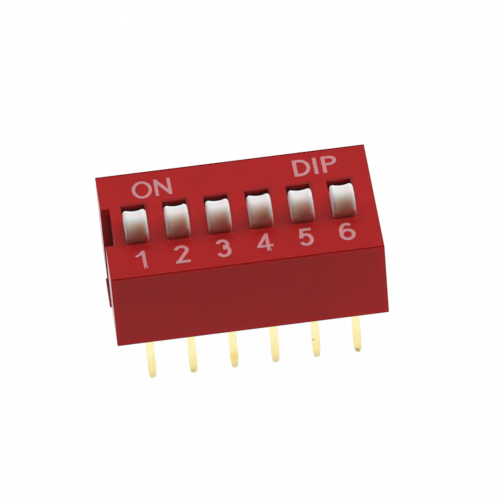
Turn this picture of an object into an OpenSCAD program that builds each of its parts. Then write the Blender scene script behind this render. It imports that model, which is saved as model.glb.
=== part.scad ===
// Slide DIP switch for a through-hole circuit board. A moulded cover clips over a
// moulded base, and the base holds two rows of flat gold-plated leads. Each switch has
// one slider, which carries a sprung bridging contact over two flush contact pads.
//
// Frame: X runs along the row of switches, +Y is the ON side and +Z is up. The origin is
// the middle of the body's underside, where the body sits on the board. The sliders are
// drawn in their OFF position and move by slider_travel along +Y to ON.

/* [Switches] */
// Number of switches in the row
positions = 6; // [2:1:8]
// Distance between neighbouring switches, and between leads in a row
pitch = 2.54; // [2.4:0.02:3]
// Distance between the two rows of leads
row_span = 7.62; // [7.2:0.02:9]

/* [Cover] */
// Thickness of the cover's top plate
cover_top_t = 0.8; // [0.6:0.05:1.2]
// Thickness of the cover's long walls
cover_side_t = 0.75; // [0.5:0.05:1.2]
// Thickness of the cover's end walls
cover_end_t = 0.94; // [0.8:0.02:1.5]
// Radius of the cover's outer edges
edge_r = 0.07; // [0.05:0.01:0.2]
// Width of a slider's window, across the row's direction of travel
window_w = 1.46; // [1.2:0.02:1.6]
// Length of a slider's window, along its travel
window_l = 3.54; // [3.2:0.02:4]
// Width of the orientation channel down the first switch's end, at the top
notch_w = 3.5; // [3.2:0.1:5]
// How far each side of the channel leans in towards the board
notch_draft = 0.25; // [0:0.05:0.3]
// How far the channel cuts into the end wall
notch_in = 0.57; // [0.3:0.01:0.65]

/* [Base] */
// Thickness of the base's floor
floor_t = 1.2; // [1:0.05:1.6]
// Plastic left outside each row of leads
base_rim = 0.185; // [0.1:0.005:0.4]
// Thickness of the walls between the switches' channels
partition_t = 0.7; // [0.6:0.02:0.8]
// Width of the seating tab at each end
tab_w = 2.5; // [1.5:0.1:2.5]
// Height of the seating tab
tab_h = 0.22; // [0.2:0.02:0.6]
// How far the tab stands out of the end wall
tab_proud = 0.1; // [0.05:0.01:0.3]
// Distance from the base's end to the start of the snap rib along each long side
snap_inset = 1.9; // [1:0.1:2.2]
// Radius of the snap rib
snap_r = 0.16; // [0.12:0.01:0.2]
// How far the snap rib stands out of the side
snap_proud = 0.08; // [0.05:0.01:0.1]
// Height of the snap rib above the board
snap_z = 0.65; // [0.4:0.05:0.9]
// Depth of the recesses in the underside, around the leads and at the moulding gate
well_depth = 0.25; // [0.1:0.05:0.4]
// Room between a lead and the edge of its recess
well_gap = 0.2; // [0.1:0.02:0.3]
// Radius of the moulding gate's recess
gate_r = 0.6; // [0.3:0.05:1]

/* [Leads] */
// Width of a lead
lead_w = 0.5; // [0.4:0.02:0.6]
// Thickness of the lead strip
lead_t = 0.25; // [0.2:0.01:0.3]
// Length of a lead below the body
lead_drop = 3.78; // [2.5:0.02:5]
// Width of a lead's rounded tip
tip_w = 0.4; // [0.2:0.02:0.4]
// Length over which a lead tapers to its tip
taper_l = 0.7; // [0.6:0.1:2]
// Width of the contact pad, flush in the floor
pad_w = 1.2; // [1.1:0.05:1.4]
// How far a lead's narrow part reaches into the floor above its recess
lead_seat = 0.2; // [0.1:0.05:0.3]
// Inner radius of the bend from lead to pad
bend_r = 0.1; // [0.05:0.01:0.15]
// Break between the two pads under a slider
pad_break = 0.5; // [0.3:0.05:0.8]

/* [Sliders] */
// Length of the knob, along its travel
knob_l = 2.44; // [2:0.02:2.6]
// Height of the knob above the cover
knob_rise = 1.21; // [0.9:0.01:1.3]
// Depth of the groove over the knob, from its rims
groove_dip = 0.08; // [0.04:0.01:0.16]
// Radius of the rounded rim at each side of the groove
rim_r = 0.2; // [0.1:0.01:0.25]
// How far the flange reaches under the cover at each side of the window
flange_lap = 0.28; // [0.2:0.02:0.34]
// How far the flange reaches past the window's ends at full travel
flange_end_lap = 0.1; // [0.05:0.05:0.4]
// Thickness of the flange
flange_t = 0.9; // [0.6:0.05:1.2]
// Height of the block below the flange
carrier_h = 1.28; // [0.8:0.02:1.6]
// Length of the block below the flange
carrier_l = 3.2; // [3:0.1:3.6]

/* [Contacts] */
// Thickness of the contact spring strip
spring_t = 0.15; // [0.1:0.01:0.18]
// Width of the contact spring
spring_w = 1; // [0.9:0.05:1.2]
// Height of the spring from the pads to the slider
spring_h = 1.08; // [0.9:0.02:1.4]
// Length of the flat middle of the spring
saddle_l = 1.5; // [1.3:0.05:1.7]
// Distance of each toe from the middle of the spring
toe_y = 1.2; // [1.1:0.05:1.3]
// Width of the slit that parts each arm into two fingers
slit_w = 0.2; // [0.1:0.02:0.3]
// Radius of the peg that holds the spring
peg_r = 0.25; // [0.2:0.01:0.3]
// Radius of the peg's headed end
peg_head_r = 0.4; // [0.35:0.01:0.5]
// Height of the peg's headed end
peg_head_h = 0.14; // [0.1:0.01:0.2]

/* [Clearances] */
// Running clearance of a knob at each side of its window
knob_gap = 0.02; // [0.01:0.01:0.05]
// Room between a knob and the end of its window, where the slider rests at OFF or ON
stop_gap = 0.03; // [0.02:0.01:0.1]
// Running clearance above and below a flange
run_gap = 0.04; // [0.02:0.01:0.08]
// Running clearance of a flange and its block at each side
side_gap = 0.05; // [0.02:0.01:0.08]
// Clearance between base and cover
fit_gap = 0.03; // [0.01:0.01:0.06]
// Clearance of the contact toes over the pads
toe_gap = 0.02; // [0.01:0.01:0.05]
// Clearance of the peg in the spring's hole
peg_gap = 0.01; // [0.01:0.01:0.03]

/* [Hidden] */
$fn = 64;
// Overshoot of a cutting shape past the face that it opens
eps = 0.1;

// The sliders: the window sets the knob's width and the travel
knob_w = window_w - 2 * knob_gap;
knob_r = knob_l / 2;
slider_travel = window_l - knob_l - 2 * stop_gap;
flange_w = window_w + 2 * flange_lap;
flange_l = window_l + slider_travel + 2 * flange_end_lap;
channel_w = pitch - partition_t;
carrier_w = channel_w - 2 * side_gap;
half_chord = knob_w / 2 - rim_r;
groove_r = (half_chord ^ 2 + groove_dip ^ 2) / (2 * groove_dip);

// Levels above the board, from the floor up
carrier_z = floor_t + toe_gap + spring_h;
flange_z = carrier_z + carrier_h;
partition_top = flange_z - run_gap;
ceiling_z = flange_z + flange_t + run_gap;
body_h = ceiling_z + cover_top_t;
knob_axis_z = body_h + knob_rise - knob_r;

// The body: the leads, the sliders and the walls set its size
base_l = (positions - 1) * pitch + flange_w + 2 * side_gap - 2 * fit_gap;
base_w = row_span + lead_t + 2 * base_rim;
cavity_l = base_l + 2 * fit_gap;
cavity_w = base_w + 2 * fit_gap;
body_l = cavity_l + 2 * cover_end_t;
body_w = cavity_w + 2 * cover_side_t;
guide_t = pitch - flange_w - 2 * side_gap;
guide_l = flange_l + slider_travel;

// The leads: the wide part ends inside the floor, above the recess in the underside
shoulder_z = well_depth + lead_seat;
pad_split = toe_y;

FRONT = -1;
REAR = 1;

function switch_x(i) = (i - (positions + 1) / 2) * pitch;
function numbered(stem) = [for (i = [1:positions]) str(stem, i)];

// A solid with the outline's first axis along Y and its second along Z, centred on X.
module extrude_x(width) {
    translate([-width / 2, 0, 0])
        rotate([90, 0, 90])
            linear_extrude(width) children();
}

// A solid with the outline's first axis along X and its second along Z, centred on Y.
module extrude_y(width) {
    translate([0, width / 2, 0])
        rotate([90, 0, 0])
            linear_extrude(width) children();
}

// An upright outline of the given size with its two upper corners rounded.
module round_topped(width, height, r) {
    translate([-width / 2, 0]) square([width, height - r]);
    translate([-width / 2 + r, 0]) square([width - 2 * r, height]);
    for (s = [-1, 1])
        translate([s * (width / 2 - r), height - r]) circle(r);
}

// A rectangle about the origin with all four corners rounded.
module round_cornered(length, width, r) {
    square([length, width - 2 * r], center = true);
    square([length - 2 * r, width], center = true);
    for (sx = [-1, 1], sy = [-1, 1])
        translate([sx * (length / 2 - r), sy * (width / 2 - r)]) circle(r);
}

// A block about the Z axis, standing on z = 0.
module block(length, width, height) {
    translate([-length / 2, -width / 2, 0]) cube([length, width, height]);
}

// Places its children at every switch in the row.
module each_switch() {
    for (i = [1:positions])
        translate([switch_x(i), 0, 0]) children();
}

// Places its children midway between neighbouring switches.
module each_gap() {
    for (i = [1:positions - 1])
        translate([switch_x(i) + pitch / 2, 0, 0]) children();
}

// ---- Cover: one red moulding, open below, with a window for each slider ----

module cover() {
    color([0.67, 0.16, 0.17])
        difference() {
            union() {
                difference() {
                    cover_block();
                    translate([0, 0, -eps])
                        block(cavity_l, cavity_w, ceiling_z + eps);
                }
                each_gap()
                    translate([0, 0, flange_z])
                        block(guide_t, guide_l, ceiling_z - flange_z + eps);
            }
            each_switch()
                translate([0, 0, ceiling_z - eps])
                    block(window_w, window_l, cover_top_t + 2 * eps);
            end_channel();
            tab_slots();
            snap_bars(fit_gap);
        }
}

module cover_block() {
    intersection() {
        extrude_x(body_l) round_topped(body_w, body_h, edge_r);
        extrude_y(body_w) round_topped(body_l, body_h, edge_r);
        linear_extrude(body_h) round_cornered(body_l, body_w, edge_r);
    }
}

// The channel marks the end where the first switch is, and runs from top to bottom with draft.
module end_channel() {
    top = notch_w / 2;
    foot = top - notch_draft;
    translate([-body_l / 2, 0, 0])
        extrude_x(2 * notch_in)
            polygon([
                [-foot, -eps],
                [foot, -eps],
                [top, body_h + eps],
                [-top, body_h + eps]
            ]);
}

// The base's tabs seat in a slot in the lower edge of each end wall.
module tab_slots() {
    for (s = [-1, 1])
        translate([s * body_l / 2, 0, -eps])
            block(2 * cover_end_t + 2 * eps, tab_w + 2 * fit_gap, tab_h + fit_gap + eps);
}

// Round bars along both long sides: the base's snap ribs, and with room all round them the
// grooves that hold them in the cover.
module snap_bars(room) {
    snap_l = base_l - 2 * snap_inset;
    for (s = [-1, 1])
        translate([-snap_l / 2 - room, s * (base_w / 2 + snap_proud - snap_r), snap_z])
            rotate([0, 90, 0])
                cylinder(r = snap_r + room, h = snap_l + 2 * room);
}

// ---- Base: one red moulding around the leads, with a channel for each slider ----

module base() {
    color([0.6, 0.14, 0.15])
        difference() {
            union() {
                block(base_l, base_w, floor_t);
                each_gap()
                    block(partition_t, base_w, partition_top);
                block(body_l + 2 * tab_proud, tab_w, tab_h);
                snap_bars(0);
            }
            each_switch() {
                lead_solid(FRONT);
                lead_solid(REAR);
                lead_wells();
            }
            translate([pitch / 2, 0, -eps])
                cylinder(r = gate_r, h = well_depth + eps);
        }
}

module lead_wells() {
    for (s = [FRONT, REAR])
        translate([0, s * row_span / 2, -eps])
            block(lead_w + 2 * well_gap, lead_t + 2 * well_gap, well_depth + eps);
}

// ---- Leads: gold-plated strip, a flush pad bent down into a tapered lead ----

module front_lead(i) {
    color([0.93, 0.8, 0.45])
        translate([switch_x(i), 0, 0]) lead_solid(FRONT);
}

module rear_lead(i) {
    color([0.93, 0.8, 0.45])
        translate([switch_x(i), 0, 0]) lead_solid(REAR);
}

// The break between the two pads lies off centre, midway between the two places where the
// rear toe stops, so the toes bridge it only when the slider is at ON.
module lead_solid(side) {
    pad_end = side == FRONT ? pad_split - pad_break / 2 : -(pad_split + pad_break / 2);
    reach = row_span / 2 + lead_t / 2 + pad_end;
    mirror([0, side == FRONT ? 0 : 1, 0])
        translate([0, -row_span / 2, 0]) {
            extrude_x(pad_w) bent_strip(reach);
            extrude_y(lead_t) lead_outline();
        }
}

// Side view of the pad and the wide part of the lead, from the lead's outer face inwards.
module bent_strip(reach) {
    outer_r = bend_r + lead_t;
    bend_y = outer_r - lead_t / 2;
    bend_z = floor_t - outer_r;
    translate([bend_y, floor_t - lead_t]) square([reach - outer_r, lead_t]);
    translate([-lead_t / 2, shoulder_z]) square([lead_t, bend_z - shoulder_z]);
    intersection() {
        translate([bend_y, bend_z])
            difference() {
                circle(outer_r);
                circle(bend_r);
            }
        translate([-lead_t / 2, bend_z]) square(outer_r);
    }
}

// Front view of the narrow part of the lead: straight, then tapered to a round tip.
module lead_outline() {
    tip_r = tip_w / 2;
    taper_z = -lead_drop + taper_l;
    tip_z = -lead_drop + tip_r;
    translate([-lead_w / 2, taper_z]) square([lead_w, shoulder_z - taper_z]);
    polygon([
        [-lead_w / 2, taper_z],
        [-tip_r, tip_z],
        [tip_r, tip_z],
        [lead_w / 2, taper_z]
    ]);
    translate([0, tip_z]) circle(tip_r);
}

// ---- Sliders: white moulding, with a knob above the cover and a peg below ----

module slider(i) {
    color([0.93, 0.91, 0.88])
        translate([switch_x(i), -slider_travel / 2, 0]) {
            knob();
            translate([0, 0, flange_z]) block(flange_w, flange_l, flange_t);
            translate([0, 0, carrier_z]) block(carrier_w, carrier_l, carrier_h + eps);
            peg();
        }
}

// The knob is an arch with a shallow groove over it, like a stretch of a pulley's rim.
module knob() {
    root_z = flange_z + flange_t / 2;
    intersection() {
        translate([0, 0, knob_axis_z])
            rotate([0, 90, 0])
                rotate_extrude($fn = 96) rim_outline();
        translate([0, 0, knob_axis_z]) block(2 * knob_w, 2 * knob_l, 2 * knob_r);
    }
    translate([0, 0, root_z])
        linear_extrude(knob_axis_z - root_z)
            for (angle = [90, -90])
                rotate(angle) rim_outline();
}

// Half the pulley's section: the first axis runs from its centre out to the groove.
module rim_outline() {
    difference() {
        union() {
            translate([0, -knob_w / 2]) square([knob_r - rim_r, knob_w]);
            translate([0, -half_chord]) square([knob_r, 2 * half_chord]);
            for (s = [-1, 1])
                translate([knob_r - rim_r, s * half_chord]) circle(rim_r);
        }
        translate([knob_r - groove_dip + groove_r, 0]) circle(groove_r);
    }
}

// The peg passes through the spring and its end is headed over to hold it.
module peg() {
    translate([0, 0, carrier_z - spring_t - peg_head_h]) {
        cylinder(r = peg_head_r, h = peg_head_h);
        cylinder(r = peg_r, h = peg_head_h + spring_t + eps);
    }
}

// ---- Contacts: gold-plated spring strip, two arms of two fingers each ----

module contact(i) {
    color([0.9, 0.76, 0.4])
        translate([switch_x(i), -slider_travel / 2, 0])
            difference() {
                extrude_x(spring_w) spring_profile();
                cylinder(r = peg_r + peg_gap, h = body_h);
                for (s = [-1, 1])
                    translate([0, s * (saddle_l / 2 + toe_y), 0])
                        block(slit_w, 2 * toe_y, body_h);
            }
}

// Side view of the spring: a flat saddle, arms down to the toes, and upturned ends.
module spring_profile() {
    r = spring_t / 2;
    saddle_y = saddle_l / 2;
    saddle_z = carrier_z - r;
    toe_z = floor_t + toe_gap + r;
    end_y = toe_y + (toe_y - saddle_y) / 2;
    end_z = toe_z + spring_t;
    limb([-saddle_y, saddle_z], [saddle_y, saddle_z], spring_t);
    for (s = [-1, 1]) {
        limb([s * saddle_y, saddle_z], [s * toe_y, toe_z], spring_t);
        limb([s * toe_y, toe_z], [s * end_y, end_z], spring_t);
    }
}

// A straight piece of strip, seen from the side, with a round end at each point.
module limb(from, to, thickness) {
    step = to - from;
    translate(from)
        rotate(atan2(step[1], step[0]))
            translate([0, -thickness / 2]) square([norm(step), thickness]);
    for (point = [from, to])
        translate(point) circle(thickness / 2);
}

cover();
base();
for (i = [1:positions]) {
    front_lead(i);
    rear_lead(i);
    slider(i);
    contact(i);
}
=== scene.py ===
"""Looks for a six-way slide DIP switch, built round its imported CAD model.

Lengths are in metres, in the CAD model's frame: X runs along the row of switches, +Y is the ON
side, +Z is up, and Z = 0 is the board face that the body sits on.
"""

import math

import bpy
from mathutils import Matrix, Vector


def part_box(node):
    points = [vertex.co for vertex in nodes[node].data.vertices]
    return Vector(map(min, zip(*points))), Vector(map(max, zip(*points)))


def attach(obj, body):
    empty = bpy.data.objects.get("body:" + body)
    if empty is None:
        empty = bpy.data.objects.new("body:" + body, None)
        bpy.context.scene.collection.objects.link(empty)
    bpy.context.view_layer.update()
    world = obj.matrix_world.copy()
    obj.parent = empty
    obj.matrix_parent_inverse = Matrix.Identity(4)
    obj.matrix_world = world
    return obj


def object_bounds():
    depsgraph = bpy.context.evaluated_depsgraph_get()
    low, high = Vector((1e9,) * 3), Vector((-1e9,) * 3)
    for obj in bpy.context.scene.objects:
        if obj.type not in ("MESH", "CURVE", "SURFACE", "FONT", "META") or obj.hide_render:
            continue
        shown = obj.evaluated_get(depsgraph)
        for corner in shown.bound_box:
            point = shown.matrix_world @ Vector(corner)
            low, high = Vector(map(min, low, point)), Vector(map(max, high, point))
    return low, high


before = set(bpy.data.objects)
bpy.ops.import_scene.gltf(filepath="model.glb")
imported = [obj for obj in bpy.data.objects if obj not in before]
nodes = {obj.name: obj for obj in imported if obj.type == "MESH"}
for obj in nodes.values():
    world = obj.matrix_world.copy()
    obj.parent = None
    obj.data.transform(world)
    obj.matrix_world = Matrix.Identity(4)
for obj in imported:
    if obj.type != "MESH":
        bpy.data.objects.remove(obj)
cad_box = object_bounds()
scene = bpy.context.scene
mm = 0.001


# ---- Base ---------------------------------------------------------------------------------
# The real base is one moulding in red glass-filled plastic, with the leads moulded in. It is
# pushed up into the cover until its ribs click home, and its tabs show at both ends.

BASE_RED = (0.30, 0.008, 0.009)


def rgba(colour):
    """The colour with full opacity, as Blender's sockets take it."""
    return (*colour, 1.0)


def shade(colour, gain):
    """The same colour, lighter or darker."""
    return tuple(min(1.0, channel * gain) for channel in colour)


def new_finish(name):
    """A material with a plastic or metal shader, ready for its nodes."""
    finish = bpy.data.materials.new(name)
    finish.use_nodes = True
    shader = finish.node_tree.nodes["Principled BSDF"]
    return finish, finish.node_tree, shader


def feed(tree, socket, value):
    """Links a socket to another socket's value, or sets it to a plain one."""
    if isinstance(value, bpy.types.NodeSocket):
        tree.links.new(value, socket)
    else:
        socket.default_value = value


def add(tree, kind, sockets, **settings):
    """One shader node, with its sockets given by name or number."""
    made = tree.nodes.new("ShaderNode" + kind)
    for setting, choice in settings.items():
        setattr(made, setting, choice)
    for key, value in sockets.items():
        feed(tree, made.inputs[key], value)
    return made


def set_shader(tree, shader, **sockets):
    """Sets or links the shader's own sockets, with _ for a space in a name."""
    for name, value in sockets.items():
        feed(tree, shader.inputs[name.replace("_", " ")], value)


def place(tree):
    """Where a point of the piece is, in metres, at rest."""
    return add(tree, "TexCoord", {}).outputs["Object"]


def speckle(tree, grain, detail=2.0):
    """Cloudy noise from 0 to 1 whose patches are about one grain across."""
    sockets = {"Vector": place(tree), "Scale": 1 / grain, "Detail": detail}
    return add(tree, "TexNoise", sockets).outputs[0]


def ramp(tree, value, *stops):
    """Colours blended along a value, from pairs of place and colour."""
    made = add(tree, "ValToRGB", {"Fac": value})
    marks = made.color_ramp.elements
    while len(marks) < len(stops):
        marks.new(0.5)
    for mark, (at, colour) in zip(marks, stops):
        mark.position = at
        mark.color = rgba(colour)
    return made.outputs[0]


def drift(tree, noise, low, high):
    """A colour or a level that wanders between two with the noise."""
    low, high = (end if isinstance(end, tuple) else (end, end, end) for end in (low, high))
    return ramp(tree, noise, (0.3, low), (0.7, high))


def mould_skin(tree, grain, depth):
    """The fine satin texture that a spark-eroded mould leaves on plastic."""
    sockets = {"Height": speckle(tree, grain), "Distance": depth, "Strength": 1.0}
    return add(tree, "Bump", sockets).outputs[0]


def dress(part, finish):
    """Gives a finish to each CAD piece with the part in its name."""
    for name, piece in nodes.items():
        if part in name:
            piece.data.materials.clear()
            piece.data.materials.append(finish)


base_plastic, tree, shader = new_finish("base_plastic")
set_shader(
    tree,
    shader,
    Base_Color=drift(tree, speckle(tree, 2.5 * mm), shade(BASE_RED, 0.9), shade(BASE_RED, 1.08)),
    Roughness=drift(tree, speckle(tree, 0.4 * mm), 0.42, 0.56),
    Specular_IOR_Level=0.4,
    Normal=mould_skin(tree, 0.05 * mm, 0.004 * mm),
)
dress("base", base_plastic)


# ---- Leads --------------------------------------------------------------------------------
# Each lead is stamped from copper alloy strip, bent into a contact pad inside the base and
# flash-plated with gold. The plating is drawn into fine streaks along the lead, and a few leads
# of the front row have a small mark. The gold darkens down the lead: the plating thins and dulls
# at the sheared tip, and above that a dimmer reflection of the floor is painted into it.

GOLD = (1.0, 0.925, 0.53)
GOLD_THIN_AND_SHADED = (0.95, 0.81, 0.385)
GOLD_DULL_AND_SHADED = (0.77, 0.66, 0.35)
FULL_GOLD_Z = -0.9 * mm
STREAK = 0.09 * mm
STREAK_STRETCH = (1, 1, 0.15)
STREAK_TONE = (0.97, 0.94, 0.86)
# For each mark: its switch, its place right of the lead's middle and above the board in mm,
# the radii of its core and of its edge in mm, and its tone
MARKS = [
    (2, -0.12, -3.6, 0.04, 0.3, (0.82, 0.84, 0.64)),
    (3, 0.02, -2.85, 0.1, 0.55, (0.95, 0.84, 0.68)),
    (5, -0.15, -2.32, 0.02, 0.12, (0.5, 0.42, 0.35)),
    (6, -0.06, -3.52, 0.02, 0.11, (0.3, 0.25, 0.12)),
    (6, 0.04, -3.66, 0.02, 0.11, (0.3, 0.25, 0.12)),
]
lead_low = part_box("front_lead_1")[0]


def xyz(tree):
    """The place of a point as three separate numbers."""
    return add(tree, "SeparateXYZ", {"Vector": place(tree)}).outputs


def fade(tree, value, start, end):
    """A smooth share: 0 where the value is at the start, 1 where it is at the end."""
    sockets = {"Value": value, "From Min": start, "From Max": end}
    return add(tree, "MapRange", sockets, interpolation_type="SMOOTHSTEP").outputs[0]


def near(tree, spot, inner, outer):
    """The share of a point that lies near a spot, all of it inside the inner radius."""
    sockets = {0: place(tree), 1: spot}
    gap = add(tree, "VectorMath", sockets, operation="DISTANCE").outputs["Value"]
    return fade(tree, gap, outer, inner)


def stains_and_painted_light(tree, colour, *tones):
    """The colour, times each tone's gain where its share is 1, for stains and painted light."""
    for share, gain in tones:
        sockets = {0: share, 6: colour, 7: rgba(gain)}
        mixed = add(tree, "Mix", sockets, data_type="RGBA", blend_type="MULTIPLY")
        colour = mixed.outputs[2]
    return colour


gold_plate, tree, shader = new_finish("gold_plate")
# Painted shade down the lead for the floor's dimmer reflection, with the thinner plating at the
# tip
from_tip = fade(tree, xyz(tree)["Z"], lead_low.z, FULL_GOLD_Z)
plating = ramp(tree, from_tip, (0.0, GOLD_DULL_AND_SHADED), (0.12, GOLD_THIN_AND_SHADED), (0.85, GOLD))
sockets = {0: place(tree), 1: STREAK_STRETCH}
drawn = add(tree, "VectorMath", sockets, operation="MULTIPLY").outputs[0]
sockets = {"Vector": drawn, "Scale": 1 / STREAK, "Detail": 3.0}
streaks = add(tree, "TexNoise", sockets).outputs[0]
plating = stains_and_painted_light(tree, plating, (fade(tree, streaks, 0.45, 0.7), STREAK_TONE))
for way, beside, height, core, rim, gain in MARKS:
    left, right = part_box(f"front_lead_{way}")
    spot = ((left.x + right.x) / 2 + beside * mm, lead_low.y, height * mm)
    plating = stains_and_painted_light(tree, plating, (near(tree, spot, core * mm, rim * mm), gain))
set_shader(
    tree,
    shader,
    Base_Color=plating,
    Metallic=1.0,
    Roughness=drift(tree, streaks, 0.16, 0.28),
    Normal=add(tree, "Bump", {"Height": streaks, "Distance": 0.002 * mm}).outputs[0],
)
dress("_lead_", gold_plate)


# ---- Contacts -----------------------------------------------------------------------------
# Each slider carries one contact, a thin spring stamped and bent from gold-plated alloy strip
# and held by the slider's headed peg. Its toes are rubbed bright where they wipe the pads.

RUBBED_HEIGHT = 0.2 * mm

contact_plate, tree, shader = new_finish("contact_plate")
toe_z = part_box("contact_1")[0].z
dull = drift(tree, speckle(tree, 0.3 * mm), shade(GOLD, 0.75), shade(GOLD, 0.92))
rubbed = fade(tree, xyz(tree)["Z"], toe_z + RUBBED_HEIGHT, toe_z)
sockets = {0: rubbed, 6: dull, 7: rgba(GOLD)}
set_shader(
    tree,
    shader,
    Base_Color=add(tree, "Mix", sockets, data_type="RGBA").outputs[2],
    Metallic=1.0,
    Roughness=drift(tree, speckle(tree, 0.1 * mm), 0.22, 0.38),
)
dress("contact_", contact_plate)


# ---- Sliders ------------------------------------------------------------------------------
# Each slider is one white moulding: a knob above the cover, a flange that runs under it and a
# block with a headed peg below. The plastic is a little translucent. Shade and light are painted
# into each knob: painted shade greys its crown, browns the middle of its front and darkens its
# low corners and low right side, painted red light from the cover warms its front and reddens
# its foot, and painted light brightens the end knobs' fronts and the last one's right side.

SLIDER_WHITE = (0.92, 0.88, 0.865)
ways = sum(name.startswith("slider_") for name in nodes)
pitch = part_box("slider_2")[0].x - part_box("slider_1")[0].x
top_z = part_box("cover")[1].z


def work(tree, how, *values):
    """Arithmetic on numbers or sockets, such as ADD, MINIMUM or ABSOLUTE."""
    return add(tree, "Math", dict(enumerate(values)), operation=how).outputs[0]


def apart(tree, value):
    """How far the value is from zero, either way."""
    return work(tree, "ABSOLUTE", value)


def all_of(tree, *shares):
    """The product of several shares, each a share itself or a fade's value, start and end."""
    product = 1.0
    for share in shares:
        if isinstance(share, tuple):
            share = fade(tree, *share)
        product = work(tree, "MULTIPLY", product, share)
    return product


def facing(tree):
    """Which way the surface faces, as three numbers from -1 to 1."""
    normal = add(tree, "TexCoord", {}).outputs["Normal"]
    return add(tree, "SeparateXYZ", {"Vector": normal}).outputs


def off_middle(tree, x):
    """How far a point lies to the right of its own switch's middle line."""
    turns = work(tree, "FRACT", work(tree, "ADD", work(tree, "DIVIDE", x, pitch), ways / 2))
    return work(tree, "MULTIPLY", work(tree, "SUBTRACT", turns, 0.5), pitch)


slider_plastic, tree, shader = new_finish("slider_plastic")
x, y, z = xyz(tree)
rise = work(tree, "SUBTRACT", z, top_z)
rightward = off_middle(tree, x)
sideways = apart(tree, rightward)

# The parts of a knob where shade and light are painted: its front and its crown without the
# flat flanks, the painted shade and red light down the middle of its front, its foot, the low
# right side, and the low corners on both sides
curved = fade(tree, apart(tree, facing(tree)["X"]), 0.97, 0.7)
front = all_of(tree, (y, -0.5 * mm, -0.85 * mm), curved)
crown = all_of(tree, (y, -0.7 * mm, -0.3 * mm), curved)
warm = all_of(tree, (rise, 1.12 * mm, 0.75 * mm), front)
brown = all_of(tree, (rise, 1.16 * mm, 0.86 * mm), (sideways, 0.62 * mm, 0.28 * mm), front)
foot = fade(tree, rise, 0.22 * mm, 0.05 * mm)
lee = all_of(tree, (rise, 0.6 * mm, 0.38 * mm), (rise, 0.0, 0.12 * mm), front)
lee = all_of(tree, (rightward, 0.3 * mm, 0.6 * mm), lee)
hem = all_of(tree, (rise, 0.38 * mm, 0.2 * mm), (sideways, 0.3 * mm, 0.55 * mm), front)

# Painted light on the fronts of the first and the last knob, and on the right side of the last
end_knobs = all_of(tree, (rise, 0.2 * mm, 0.6 * mm), (apart(tree, x), 5.2 * mm, 5.6 * mm), front)
last_side = all_of(tree, (x, 6.45 * mm, 6.9 * mm), end_knobs)

# Painted shade on the crown, painted red light on the front and foot, painted shade in the
# middle of the front, the low right side and the low corners, painted light on the end knobs
white = stains_and_painted_light(
    tree,
    drift(tree, speckle(tree, 0.5 * mm), shade(SLIDER_WHITE, 0.97), SLIDER_WHITE),
    (crown, (0.80, 0.83, 0.86)),
    (warm, (1.08, 1.02, 0.94)),
    (brown, (1.0, 0.81, 0.66)),
    (foot, (1.2, 1.0, 1.0)),
    (lee, (0.9, 0.55, 0.58)),
    (hem, (0.86, 0.6, 0.55)),
    (end_knobs, (1.1, 1.14, 1.14)),
    (last_side, (1.0, 1.2, 1.22)),
)
set_shader(
    tree,
    shader,
    Base_Color=white,
    Roughness=drift(tree, speckle(tree, 0.2 * mm), 0.3, 0.42),
    Specular_IOR_Level=0.25,
    Subsurface_Weight=1.0,
    Subsurface_Radius=(1.8, 0.6, 0.5),
    Subsurface_Scale=0.5 * mm,
    Normal=mould_skin(tree, 0.12 * mm, 0.002 * mm),
)
dress("slider_", slider_plastic)


# ---- Cover --------------------------------------------------------------------------------
# The cover is one moulding in red plastic, open below. Its mould is spark-eroded, so it comes
# out satin, with smoother ends. Light and shade are painted into its red: painted light on the
# walls, a painted glow along their edges and the front lip, a painted dark outline, a dark line
# along the far top edges, painted shade in the windows, round their rims and down the channel,
# and painted light in the knobs' shadows before the windows.

COVER_RED = (0.365, 0.0045, 0.0048)
WINDOW_HALF_W = 0.73 * mm
WINDOW_HALF_L = 1.77 * mm
ROW_END = 7.3 * mm
CHANNEL_HALF_W = 1.76 * mm
CHANNEL_X = -7.76 * mm
SMUDGE = (5.6 * mm, 4.6 * mm, top_z)
RIGHT_LIP_SHARE = 0.4
END_ROUGHNESS = 0.4
half_l, half_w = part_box("cover")[1].xy


def between(tree, share, low, high):
    """A level that goes from low to high as the share goes from 0 to 1."""
    return add(tree, "MapRange", {"Value": share, "To Min": low, "To Max": high}).outputs[0]


cover_plastic, tree, shader = new_finish("cover_plastic")
x, y, z = xyz(tree)
from_middle, from_axis = apart(tree, x), apart(tree, y)
rightward = off_middle(tree, x)
below_top = work(tree, "SUBTRACT", top_z, z)
normal = facing(tree)

# The walls, and the edges where they meet each other and the top: painted light on the walls,
# more on their right part, a painted glow along their edges and the front lip, a painted dark
# outline, and a dark line along the back and right top edges
from_end = work(tree, "SUBTRACT", half_l, from_middle)
from_side = work(tree, "SUBTRACT", half_w, from_axis)
edge = work(tree, "MINIMUM", work(tree, "ADD", from_end, from_side), z)
on_wall = fade(tree, apart(tree, normal["Z"]), 0.7, 0.2)
right_part = all_of(tree, (x, 3.5 * mm, half_l), on_wall)
border = all_of(tree, (edge, 0.35 * mm, 0.1 * mm), on_wall)
outline = all_of(tree, (edge, 0.13 * mm, 0.04 * mm), on_wall)
front_lip = all_of(tree, (below_top, 0.0, 0.03 * mm), (below_top, 0.25 * mm, 0.08 * mm))
front_lip = all_of(tree, (y, -half_w + 0.4 * mm, -half_w + 0.2 * mm), front_lip)
back_lip = fade(tree, y, half_w - 0.22 * mm, half_w - 0.1 * mm)
right_lip = all_of(tree, (x, half_l - 0.16 * mm, half_l - 0.08 * mm), RIGHT_LIP_SHARE)
far_lip = work(tree, "MAXIMUM", back_lip, right_lip)
far_lip = all_of(tree, (below_top, 0.09 * mm, 0.04 * mm), far_lip)

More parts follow.
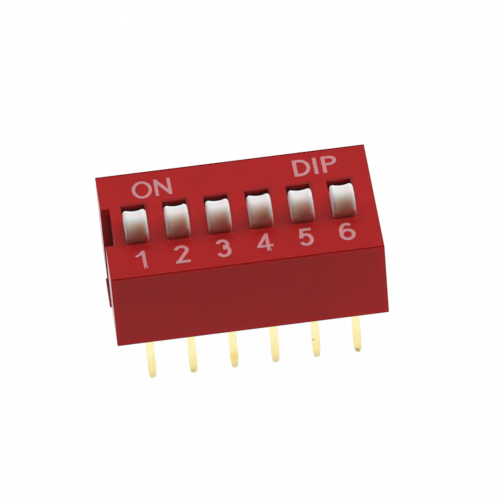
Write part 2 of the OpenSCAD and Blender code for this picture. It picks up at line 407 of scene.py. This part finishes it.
# The windows: painted shade deep on their walls, a painted shadow on the rim right of each and
# on the line just behind it, and painted light where the knob's shadow falls on the line before
# it
beside = work(tree, "SUBTRACT", apart(tree, rightward), WINDOW_HALF_W)
beyond = work(tree, "SUBTRACT", from_axis, WINDOW_HALF_L)
around = work(tree, "MAXIMUM", beside, beyond)
back_y, front_y = WINDOW_HALF_L, -WINDOW_HALF_L
in_row = fade(tree, from_middle, ROW_END + 0.2 * mm, ROW_END)
in_line = all_of(tree, (beside, 0.03 * mm, 0.0), in_row)
depth = all_of(tree, (beyond, 0.06 * mm, 0.03 * mm), (y, -1.72 * mm, -1.6 * mm), in_row)
depth = all_of(tree, (below_top, -0.04 * mm, 0.34 * mm), depth)
rim = all_of(tree, (around, 0.28 * mm, 0.1 * mm), (y, -0.5 * mm, 0.5 * mm), in_row)
rim = all_of(tree, (rightward, 0.4 * mm, 0.7 * mm), rim)
back_line = all_of(tree, (y, back_y + 0.3 * mm, back_y + 0.08 * mm), in_line)
back_line = all_of(tree, (y, back_y - 0.1 * mm, back_y - 0.02 * mm), back_line)
back_line = all_of(tree, (below_top, 0.08 * mm, 0.02 * mm), back_line)
front_line = all_of(tree, (y, front_y - 0.5 * mm, front_y - 0.02 * mm), in_line)
front_line = all_of(tree, (y, front_y + 0.1 * mm, front_y), front_line)

# The channel down the left end, with painted shade deep down and towards its inner corner
in_channel = fade(tree, x, CHANNEL_X + 0.04 * mm, CHANNEL_X)
in_channel = all_of(tree, (from_axis, CHANNEL_HALF_W + 0.04 * mm, CHANNEL_HALF_W), in_channel)
deep = all_of(tree, (below_top, 0.1 * mm, 3 * mm), in_channel)
corner = all_of(tree, (x, -8.25 * mm, -7.85 * mm), (below_top, 0.0, 0.8 * mm), in_channel)

smudge = near(tree, SMUDGE, 0.05 * mm, 0.25 * mm)
# The red, with the painted light, glow and shade above and the smudge by the P
red = stains_and_painted_light(
    tree,
    drift(tree, speckle(tree, 1.6 * mm, 5.0), shade(COVER_RED, 0.95), shade(COVER_RED, 1.04)),
    (on_wall, (1.40, 1.0, 1.0)),
    (right_part, (1.15, 1.0, 1.0)),
    (border, (1.25, 0.4, 0.4)),
    (outline, (0.6, 0.6, 0.6)),
    (front_lip, (1.35, 0.7, 0.7)),
    (depth, (0.12, 0.15, 0.15)),
    (rim, (0.62, 0.95, 0.95)),
    (back_line, (0.6, 0.6, 0.6)),
    (front_line, (1.6, 7.0, 6.5)),
    (deep, (0.7, 1.0, 1.0)),
    (corner, (0.5, 0.8, 0.8)),
    (smudge, (0.7, 0.8, 0.8)),
    (far_lip, (0.4, 0.4, 0.4)),
)
satin = between(tree, speckle(tree, 0.4 * mm), 0.38, 0.54)
satin = work(tree, "MAXIMUM", satin, far_lip)
on_end = fade(tree, apart(tree, normal["X"]), 0.6, 0.95)
satin = all_of(tree, satin, between(tree, on_end, 1.0, END_ROUGHNESS))
set_shader(
    tree,
    shader,
    Base_Color=red,
    Roughness=satin,
    Specular_IOR_Level=0.22,
    Normal=mould_skin(tree, 0.05 * mm, 0.004 * mm),
)
dress("cover", cover_plastic)


# ---- Printed legend -----------------------------------------------------------------------
# ON, the type word and the switch numbers are pad-printed on the cover's top in one pass of
# pale ink. The whole print sits a little turned on the moulding, and its edges are uneven.

INK_PALE = (0.63, 0.25, 0.265)
INK_GREY = (0.50, 0.26, 0.28)
INK_THIN = (0.56, 0.20, 0.20)
PRINT_TURN = math.radians(1.05)
# Sizes in millimetres: each character is drawn from its own lower left corner
INK_DEPTH = 0.012
INK_STEP = 0.001
PEN = 0.23
FINE_PEN = 0.205
HALF = PEN / 2
CAP = 1.56
NUMERAL = 1.63
WORD_LINE = 2.49
NUMBER_LINE = -4.03


def arc(x, y, across, high, start, end, steps=24):
    """Points along part of an ellipse, from the start angle to the end angle in degrees."""
    turns = [math.radians(start + (end - start) * step / steps) for step in range(steps + 1)]
    return [(x + across * math.cos(turn), y + high * math.sin(turn)) for turn in turns]


def edges_of(line, width):
    """The two edges of a pen stroke that follows a line of points."""
    points = [Vector(point) for point in line]
    steps = [(after - before).normalized() for before, after in zip(points, points[1:])]
    left, right = [], []
    for here, point in enumerate(points):
        into, out = steps[max(here - 1, 0)], steps[min(here, len(steps) - 1)]
        mean = (into + out).normalized()
        reach = width / 2 / max(mean.dot(into), 0.4)
        side = Vector((-mean.y, mean.x)) * reach
        left.append(point + side)
        right.append(point - side)
    return left, right


def print_glyph(name, x, y, strokes):
    """One printed character, whose strokes are laid from x, y as a thin film on the cover.

    Each stroke lies a little higher than the last, so that no two of them share a face.
    """
    points, faces = [], []
    for layer, (line, width) in enumerate(strokes):
        left, right = edges_of(line, width)
        count = len(line)
        lower = len(points)
        upper = lower + 2 * count
        for height in (-INK_DEPTH, INK_DEPTH + layer * INK_STEP):
            for point in left + right:
                flat = Matrix.Rotation(PRINT_TURN, 2) @ (point + Vector((x, y)))
                points.append((flat.x * mm, flat.y * mm, top_z + height * mm))
        for here in range(count - 1):
            panel = (here, here + 1, count + here + 1, count + here)
            faces.append([lower + corner for corner in panel])
            faces.append([upper + corner for corner in reversed(panel)])
        outline = [*range(count), *reversed(range(count, 2 * count))]
        for a, b in zip(outline, outline[1:] + outline[:1]):
            faces.append([lower + b, upper + b, upper + a, lower + a])
    mesh = bpy.data.meshes.new(name)
    mesh.from_pydata(points, [], faces)
    mesh.materials.append(pale_ink)
    glyph = bpy.data.objects.new(name, mesh)
    scene.collection.objects.link(glyph)
    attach(glyph, "housing")


pale_ink, tree, shader = new_finish("pale_ink")
tint = ramp(tree, speckle(tree, 0.35 * mm), (0.4, INK_GREY), (0.6, INK_PALE))
patchy = fade(tree, speckle(tree, 0.12 * mm, 3.0), 0.5, 0.3)
sockets = {0: patchy, 6: tint, 7: rgba(INK_THIN)}
film = add(tree, "Mix", sockets, data_type="RGBA").outputs[2]
set_shader(tree, shader, Base_Color=film, Roughness=0.6, Specular_IOR_Level=0.3)

width, high = 1.24, 1.62
ring = arc(width / 2, high / 2, (width - FINE_PEN) / 2, (high - FINE_PEN) / 2, 90, 450, 48)
print_glyph("print_O", -6.18, WORD_LINE - 0.06, [(ring, FINE_PEN)])

width = 1.05
print_glyph("print_N", -4.79, WORD_LINE, [
    ([(HALF, 0), (HALF, CAP)], FINE_PEN),
    ([(width - HALF, 0), (width - HALF, CAP)], FINE_PEN),
    ([(HALF, CAP - HALF), (width - HALF, HALF)], FINE_PEN * 1.15),
])

bowl_x = 0.4
bowl = arc(bowl_x, CAP / 2, width - HALF - bowl_x, CAP / 2 - HALF, 90, -90)
print_glyph("print_D", 3.83, WORD_LINE, [
    ([(HALF, 0), (HALF, CAP)], PEN),
    ([(HALF, CAP - HALF), *bowl, (HALF, HALF)], PEN),
])

print_glyph("print_I", 5.08, WORD_LINE, [([(HALF, 0), (HALF, CAP)], PEN)])

width, high = 0.93, 0.88
bowl_x = 0.45
bowl = arc(bowl_x, CAP - high / 2, width - HALF - bowl_x, high / 2 - HALF, 90, -90)
print_glyph("print_P", 5.61, WORD_LINE, [
    ([(HALF, 0), (HALF, CAP)], PEN),
    ([(HALF, CAP - HALF), *bowl, (HALF, CAP - high + HALF)], PEN),
])

stem = 0.6 - HALF
print_glyph("print_1", -6.68, NUMBER_LINE - 0.04, [
    ([(stem, 0.2), (stem, NUMERAL)], FINE_PEN),
    ([(stem - 0.06, 0), (stem - 0.05, 0.25)], PEN * 0.35),
    ([(stem + 0.1, 0), (stem + 0.05, 0.25)], PEN * 0.35),
    ([(0, 1.15), (0.25, 1.29), (stem, NUMERAL - 0.08)], FINE_PEN * 0.9),
])

width = 0.9
radius = width / 2 - HALF
crown = arc(width / 2, NUMERAL - HALF - radius, radius, radius, 170, -38)
print_glyph("print_2", -4.34, NUMBER_LINE - 0.03, [
    ([*crown, (HALF + 0.04, HALF)], PEN),
    ([(0, HALF), (width, HALF)], PEN),
])

width = 0.91
upper, lower = 0.37, 0.45
print_glyph("print_3", -1.81, NUMBER_LINE, [
    (arc(width / 2 - 0.02, NUMERAL - HALF - upper, 0.3, upper, 160, -90), PEN),
    (arc(width / 2, HALF + lower - 0.03, width / 2 - HALF, lower, 90, -160), PEN),
])

width = 1.01
stem, bar = 0.68, 0.47
print_glyph("print_4", 0.67, NUMBER_LINE, [
    ([(stem, 0.16), (stem, NUMERAL)], FINE_PEN),
    ([(stem - 0.06, 0), (stem - 0.05, 0.2)], PEN * 0.4),
    ([(stem + 0.12, 0), (stem + 0.06, 0.2)], PEN * 0.4),
    ([(0, bar), (width, bar)], PEN * 0.9),
    ([(HALF * 0.8, bar), (stem - 0.03, NUMERAL - HALF)], PEN * 0.9),
])

width, lower = 0.87, 0.47
bowl = arc(width / 2 - 0.02, HALF + lower, width / 2 - HALF + 0.02, lower, 130, -155)
print_glyph("print_5", 3.27, NUMBER_LINE - 0.03, [
    ([(0.14, NUMERAL - HALF), (width - 0.05, NUMERAL - HALF)], PEN),
    ([(0.24, NUMERAL), (0.14, 0.75)], PEN),
    (bowl, PEN),
])

width, lower = 0.97, 0.42
print_glyph("print_6", 5.74, NUMBER_LINE - 0.03, [
    (arc(width / 2, HALF + lower, width / 2 - HALF, lower, 90, 450, 36), PEN),
    (arc(width / 2, NUMERAL / 2, width / 2 - HALF, NUMERAL / 2 - HALF, 50, 200), PEN),
])


# ---- Camera, floor and light --------------------------------------------------------------
# A long lens looks down on the switch, which stands on its leads on a wide sheet of matt white
# paper. One softbox hangs above and a little behind it, and lights its top more than its front.

CAMERA_DISTANCE = 0.4
CAMERA_TURN = math.radians(-3.273)
CAMERA_TILT = math.radians(40.932)
CAMERA_ROLL = math.radians(5.033)
CAMERA_LENS = 468.3
CAMERA_SHIFT = (0.01135, 0.05423)
FLOOR_WHITE = (0.95, 0.95, 0.95)
FLOOR_HALF = 2.0
GLOW_SHARE = 0.985
NEAR_GLOW = 1.0
FAR_GLOW = 0.1
FILL_LEVEL = 0.022
LAMP_POWER = 6.4
LAMP_SIZE = (1.4, 0.35)
LAMP_DISTANCE = 0.5
LAMP_LEAN = math.radians(41)
LAMP_SIDEWAYS = 0.2


def shows_backdrop(tree):
    """1 for the rays that show the backdrop: straight to the camera, mirrored or let through."""
    ray = add(tree, "LightPath", {}).outputs
    seen = work(tree, "MAXIMUM", ray["Is Camera Ray"], ray["Is Glossy Ray"])
    return work(tree, "MAXIMUM", seen, ray["Is Transmission Ray"])


scene.view_settings.view_transform = "Standard"

camera = bpy.data.objects.new("camera", bpy.data.cameras.new("camera"))
scene.collection.objects.link(camera)
aim = (
    Matrix.Rotation(CAMERA_TURN, 4, "Z")
    @ Matrix.Rotation(math.radians(90) - CAMERA_TILT, 4, "X")
    @ Matrix.Rotation(-CAMERA_ROLL, 4, "Z")
)
camera.matrix_world = aim @ Matrix.Translation((0, 0, CAMERA_DISTANCE))
camera.data.sensor_width = 36
camera.data.lens = CAMERA_LENS
camera.data.shift_x, camera.data.shift_y = CAMERA_SHIFT
camera.data.clip_start = 0.01
scene.camera = camera

floor_z = cad_box[0].z
corners = [(-1, -1), (1, -1), (1, 1), (-1, 1)]
floor_mesh = bpy.data.meshes.new("floor")
floor_mesh.from_pydata(
    [(FLOOR_HALF * x, FLOOR_HALF * y, floor_z) for x, y in corners], [], [(0, 1, 2, 3)]
)
floor = bpy.data.objects.new("floor", floor_mesh)
scene.collection.objects.link(floor)

# The paper shows full white wherever the backdrop shows. For the light it throws onto the switch
# it glows as a painted pool of light, full white round the switch and dim farther out
floor_paper, tree, shader = new_finish("floor_paper")
paper = ramp(tree, speckle(tree, 20 * mm), (0.0, shade(FLOOR_WHITE, 0.99)), (1.0, FLOOR_WHITE))
set_shader(tree, shader, Base_Color=paper, Roughness=0.9, Specular_IOR_Level=0.0)
round_switch = near(tree, (0, 0, floor_z), 40 * mm, 75 * mm)
pool_glow = between(tree, round_switch, FAR_GLOW, NEAR_GLOW)
strength = work(tree, "MAXIMUM", shows_backdrop(tree), pool_glow)
glow = add(tree, "Emission", {"Color": rgba((1, 1, 1)), "Strength": strength})
mixed = add(tree, "MixShader", {0: GLOW_SHARE, 1: shader.outputs[0], 2: glow.outputs[0]})
tree.links.new(mixed.outputs[0], tree.nodes["Material Output"].inputs["Surface"])
floor_paper.cycles.emission_sampling = "NONE"
floor_mesh.materials.append(floor_paper)

world = bpy.data.worlds.new("studio")
scene.world = world
world.use_nodes = True
tree = world.node_tree
background = tree.nodes["Background"].inputs
background["Color"].default_value = rgba((1, 1, 1))
feed(tree, background["Strength"], between(tree, shows_backdrop(tree), FILL_LEVEL, 1.0))

softbox = bpy.data.objects.new("softbox", bpy.data.lights.new("softbox", "AREA"))
scene.collection.objects.link(softbox)
softbox.data.shape = "RECTANGLE"
softbox.data.size, softbox.data.size_y = LAMP_SIZE
softbox.data.energy = LAMP_POWER
softbox.visible_glossy = False
away = Vector((LAMP_SIDEWAYS, math.sin(LAMP_LEAN), math.cos(LAMP_LEAN))).normalized()
softbox.location = away * LAMP_DISTANCE
softbox.rotation_euler = away.to_track_quat("Z", "Y").to_euler()
